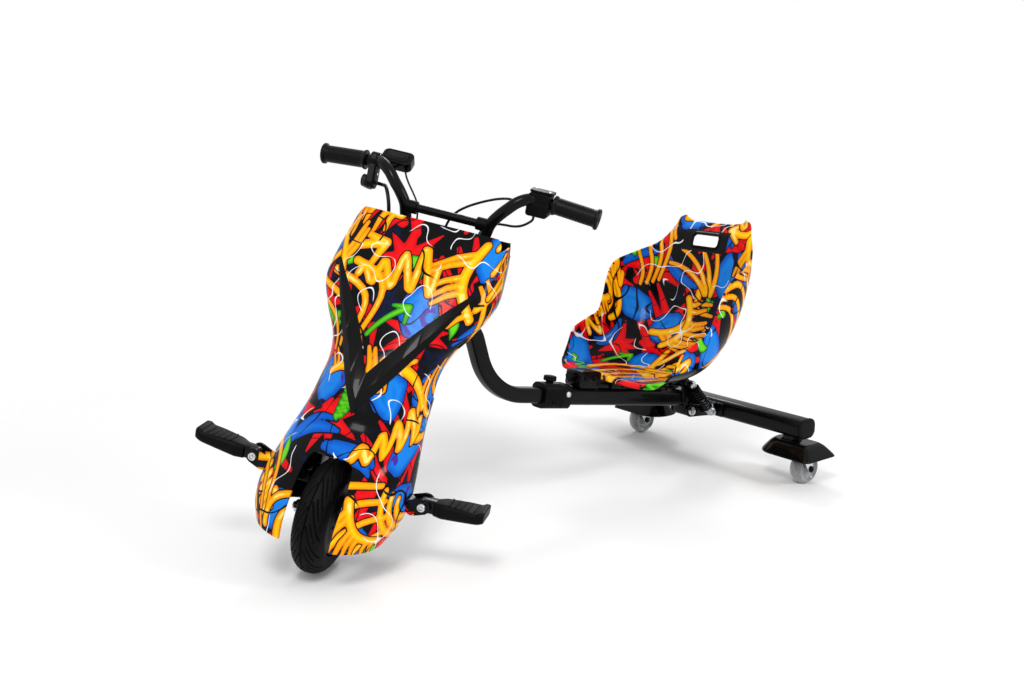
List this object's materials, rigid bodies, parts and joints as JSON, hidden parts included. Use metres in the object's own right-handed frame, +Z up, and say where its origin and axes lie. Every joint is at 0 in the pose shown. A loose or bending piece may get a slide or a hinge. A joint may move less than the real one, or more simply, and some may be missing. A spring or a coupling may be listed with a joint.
{
  "type": "electric drift trike",
  "caption": "Ride-on drift trike: cowled steering front wheel with hub motor, telescoping beam, bucket seat, sprung rear crossbar on swivel casters.",
  "frame": {"origin": "on the ground, in the middle of the whole outline in plan", "axes": "+Z up, the rider faces -Y, +X is the rider's left; the bars stand turned 39 degrees to the rider's left, as parked"},
  "size_m": [0.6386, 1.1992, 0.7001],
  "materials": {
    "printed_shell": "glossy printed plastic in yellow, red, blue, green and black",
    "gloss_black": "glossy moulded plastic",
    "matte_black": "satin moulded plastic",
    "black_paint": "gloss black powder coat",
    "grip_rubber": "matt ribbed rubber",
    "tyre_rubber": "matt rubber tread",
    "zinc_steel": "bright zinc",
    "cast_alloy": "cast alloy",
    "battery_wrap": "shrink wrap",
    "wheel_polymer": "smoky polyurethane"
  },
  "bodies": {
    "rear_frame": {"outer_tube": "black_paint", "beam_collar": "matte_black", "seat_carrier": "black_paint", "seat_shell": "printed_shell", "shock_bracket": "black_paint", "swing_bolt": "zinc_steel", "shock_top_bolt": "zinc_steel"},
    "clamp_knob": {"clamp_knob": "matte_black"},
    "length_plunger": {"length_plunger": "zinc_steel"},
    "seat_knob": {"seat_knob": "matte_black"},
    "front_beam": {"front_beam": "black_paint", "head_tube": "black_paint", "head_bearing_low": "zinc_steel", "head_bearing_high": "zinc_steel"},
    "front_unit": {"fork": "black_paint", "wheel_axle": "zinc_steel", "steering_column": "black_paint", "cowl_front": "printed_shell", "cowl_rear_upper": "gloss_black", "cowl_rear_lower": "gloss_black", "cowl_trim": "gloss_black", "handlebar": "black_paint", "grip_left": "grip_rubber", "grip_right": "grip_rubber", "throttle_clamp": "matte_black", "display_housing": "gloss_black", "switch_block": "matte_black", "throttle_cable": "matte_black", "display_cable": "matte_black", "switch_cable": "matte_black", "sensor_cable": "matte_black", "battery": "battery_wrap", "motor_controller": "cast_alloy", "peg_bracket_left": "printed_shell", "peg_pin_left": "zinc_steel", "peg_bracket_right": "printed_shell", "peg_pin_right": "zinc_steel"},
    "front_wheel": {"hub_motor": "cast_alloy", "front_tyre": "tyre_rubber"},
    "throttle_lever": {"throttle_lever": "matte_black"},
    "horn_button": {"horn_button": "matte_black"},
    "speed_button": {"speed_button": "matte_black"},
    "foot_peg_left": {"foot_peg_left": "matte_black"},
    "foot_peg_right": {"foot_peg_right": "matte_black"},
    "rear_swing": {"crossbar": "black_paint", "crossbar_cap_left": "matte_black", "crossbar_cap_right": "matte_black", "shock_foot_bolt": "zinc_steel", "caster_cover_left": "gloss_black", "caster_cover_right": "gloss_black"},
    "shock_body_left": {"shock_body_left": "matte_black", "shock_spring_left": "gloss_black"},
    "shock_rod_left": {"shock_rod_left": "zinc_steel"},
    "caster_fork_left": {"caster_fork_left": "zinc_steel"},
    "caster_wheel_left": {"caster_wheel_left": "wheel_polymer"},
    "shock_body_right": {"shock_body_right": "matte_black", "shock_spring_right": "gloss_black"},
    "shock_rod_right": {"shock_rod_right": "zinc_steel"},
    "caster_fork_right": {"caster_fork_right": "zinc_steel"},
    "caster_wheel_right": {"caster_wheel_right": "wheel_polymer"}
  },
  "joints": [
    {"name": "beam_length", "type": "slide", "parent": "rear_frame", "child": "front_beam", "axis": [0, -0.9863, 0.165], "range_m": [-0.03, 0.09]},
    {"name": "steering", "type": "hinge", "parent": "front_beam", "child": "front_unit", "pos_m": [0.03329, -0.45048, 0], "axis": [0, 0.3305, 0.9438], "range_deg": [-81, 3]},
    {"name": "front_wheel_spin", "type": "hinge", "parent": "front_unit", "child": "front_wheel", "pos_m": [0.06523, -0.4578, 0.09843], "axis": [0.7771, 0.594, -0.208], "continuous": true},
    {"name": "throttle", "type": "hinge", "parent": "front_unit", "child": "throttle_lever", "pos_m": [-0.23406, -0.18792, 0.62968], "axis": [-0.7771, -0.594, 0.208], "range_deg": [0, 35], "stiffness_Nm_per_rad": 0.3, "springref_deg": -20.05},
    {"name": "horn_press", "type": "slide", "parent": "front_unit", "child": "horn_button", "axis": [0.594, -0.8015, -0.0695], "range_m": [0, 0.0015], "stiffness_N_per_m": 600, "springref_m": -0.001},
    {"name": "speed_press", "type": "slide", "parent": "front_unit", "child": "speed_button", "axis": [0.594, -0.8015, -0.0695], "range_m": [0, 0.0015], "stiffness_N_per_m": 600, "springref_m": -0.001},
    {"name": "left_peg_fold", "type": "hinge", "parent": "front_unit", "child": "foot_peg_left", "pos_m": [0.17651, -0.33497, 0.12215], "axis": [0.594, -0.8015, -0.0695], "range_deg": [0, 80]},
    {"name": "right_peg_fold", "type": "hinge", "parent": "front_unit", "child": "foot_peg_right", "pos_m": [-0.06363, -0.5185, 0.18643], "axis": [-0.594, 0.8015, 0.0695], "range_deg": [0, 80]},
    {"name": "clamp_knob_turn", "type": "hinge", "parent": "rear_frame", "child": "clamp_knob", "pos_m": [0.03329, 0.05745, 0.24826], "axis": [0, 0.165, 0.9863], "continuous": true},
    {"name": "plunger_pull", "type": "slide", "parent": "rear_frame", "child": "length_plunger", "axis": [1, 0, 0], "range_m": [0, 0.004], "stiffness_N_per_m": 800, "springref_m": -0.002},
    {"name": "seat_knob_turn", "type": "hinge", "parent": "rear_frame", "child": "seat_knob", "pos_m": [0.03329, 0.11786, 0.24756], "axis": [0, 0.9863, -0.165], "continuous": true},
    {"name": "rear_suspension", "type": "hinge", "parent": "rear_frame", "child": "rear_swing", "pos_m": [0.03329, 0.43752, 0.127], "axis": [1, 0, 0], "range_deg": [-2, 10], "stiffness_Nm_per_rad": 400, "springref_deg": -1.15, "deforming": ["shock_spring_left", "shock_spring_right"]},
    {"name": "left_shock_pivot", "type": "hinge", "parent": "rear_frame", "child": "shock_body_left", "pos_m": [0.07029, 0.42052, 0.191], "axis": [1, 0, 0], "range_deg": [-1.5, 5]},
    {"name": "left_shock_stroke", "type": "slide", "parent": "shock_body_left", "child": "shock_rod_left", "axis": [0, 0.686, -0.7276], "range_m": [-0.0075, 0.0025]},
    {"name": "left_caster_swivel", "type": "hinge", "parent": "rear_swing", "child": "caster_fork_left", "pos_m": [0.27278, 0.54075, 0.07], "axis": [0, 0, 1], "continuous": true},
    {"name": "left_caster_roll", "type": "hinge", "parent": "caster_fork_left", "child": "caster_wheel_left", "pos_m": [0.27278, 0.55275, 0.033], "axis": [1, 0, 0], "continuous": true},
    {"name": "right_shock_pivot", "type": "hinge", "parent": "rear_frame", "child": "shock_body_right", "pos_m": [-0.00371, 0.42052, 0.191], "axis": [1, 0, 0], "range_deg": [-1.5, 5]},
    {"name": "right_shock_stroke", "type": "slide", "parent": "shock_body_right", "child": "shock_rod_right", "axis": [0, 0.686, -0.7276], "range_m": [-0.0075, 0.0025]},
    {"name": "right_caster_swivel", "type": "hinge", "parent": "rear_swing", "child": "caster_fork_right", "pos_m": [-0.20622, 0.54075, 0.07], "axis": [0, 0, 1], "continuous": true},
    {"name": "right_caster_roll", "type": "hinge", "parent": "caster_fork_right", "child": "caster_wheel_right", "pos_m": [-0.20622, 0.55275, 0.033], "axis": [1, 0, 0], "continuous": true}
  ],
  "couplings": [
    {"joint": "left_shock_pivot", "follows": "rear_suspension", "ratio": 0.39},
    {"joint": "left_shock_stroke", "follows": "rear_suspension", "m_per_rad": -0.033},
    {"joint": "right_shock_pivot", "follows": "rear_suspension", "ratio": 0.39},
    {"joint": "right_shock_stroke", "follows": "rear_suspension", "m_per_rad": -0.033}
  ]
}
